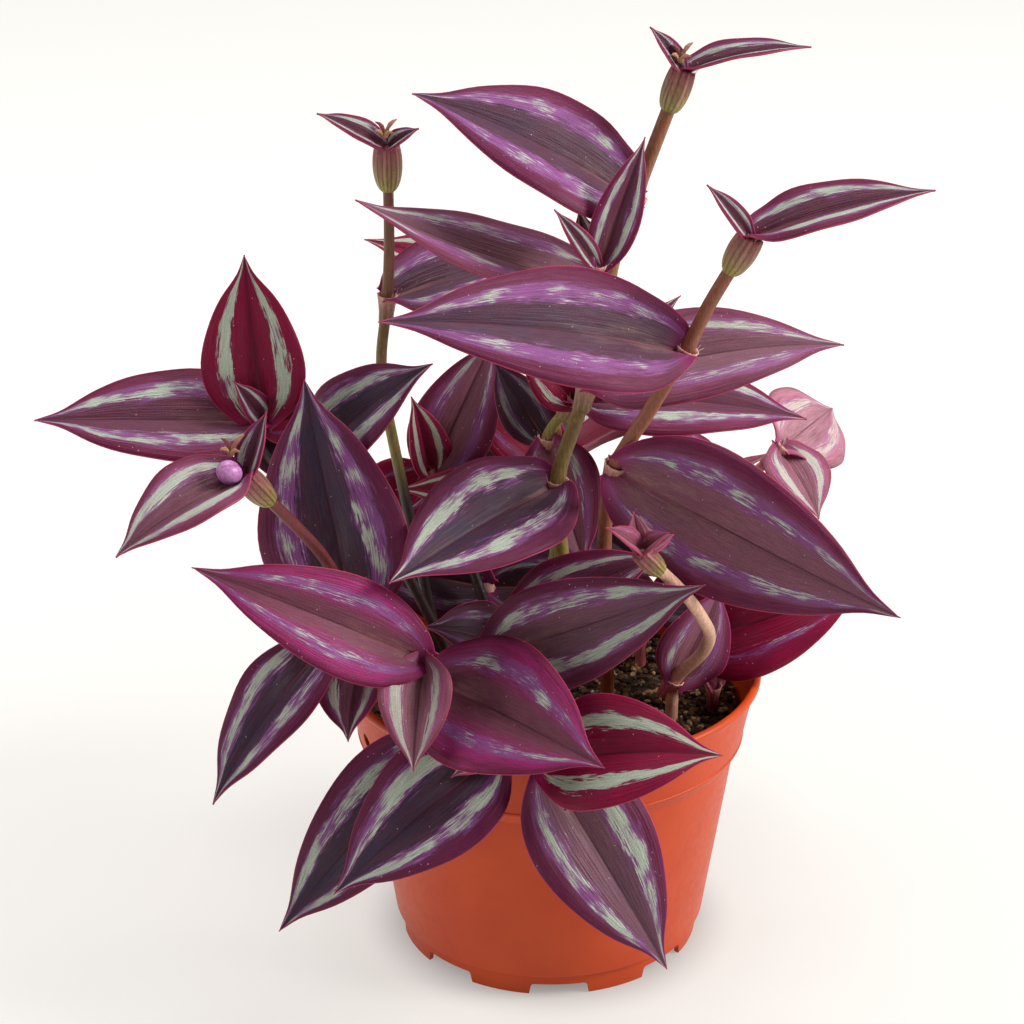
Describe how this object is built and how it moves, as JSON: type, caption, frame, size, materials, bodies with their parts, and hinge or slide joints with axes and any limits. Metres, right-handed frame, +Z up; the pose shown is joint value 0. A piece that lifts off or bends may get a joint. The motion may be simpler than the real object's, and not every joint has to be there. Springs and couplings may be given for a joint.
{
  "type": "potted trailing houseplant",
  "caption": "Bushy houseplant with silver and purple striped pointed leaves on jointed stems, in a tapered round nursery pot with a notched foot.",
  "frame": {"origin": "on the floor, under the middle of the whole plant's spread; the pot's axis stands 21.3 mm towards +X and 9.5 mm towards -Y of it", "axes": "+Z up along the pot's axis, -Y towards the side the tallest stems face, +X to the right seen from that side"},
  "size_m": [0.2285, 0.2007, 0.2637],
  "materials": {
    "terracotta_plastic": "satin",
    "peat": "matte",
    "striped_leaves": "satin",
    "crimson_shoot": "satin",
    "bud_petals": "satin",
    "dried_bracts": "matte"
  },
  "bodies": {
    "root": {"pot": "terracotta_plastic", "soil": "peat", "stem_tall": "striped_leaves", "stem_right": "striped_leaves", "stem_left_thin": "striped_leaves", "stem_left_front": "striped_leaves", "stem_left_back": "striped_leaves", "stem_front_left": "striped_leaves", "stem_left_low": "striped_leaves", "stem_front_low": "striped_leaves", "stem_front_middle": "striped_leaves", "stem_arching": "striped_leaves", "stem_right_low": "striped_leaves", "stem_right_back": "striped_leaves", "stem_centre": "striped_leaves", "stem_left_middle": "striped_leaves", "stem_back_high": "striped_leaves", "stem_back_right": "striped_leaves", "stem_back": "striped_leaves", "stem_back_left": "striped_leaves", "young_sprout": "crimson_shoot", "flower_bud": "bud_petals", "dried_flowers_tall": "dried_bracts", "dried_flowers_left": "dried_bracts", "dried_flowers_front": "dried_bracts"}
  },
  "joints": []
}
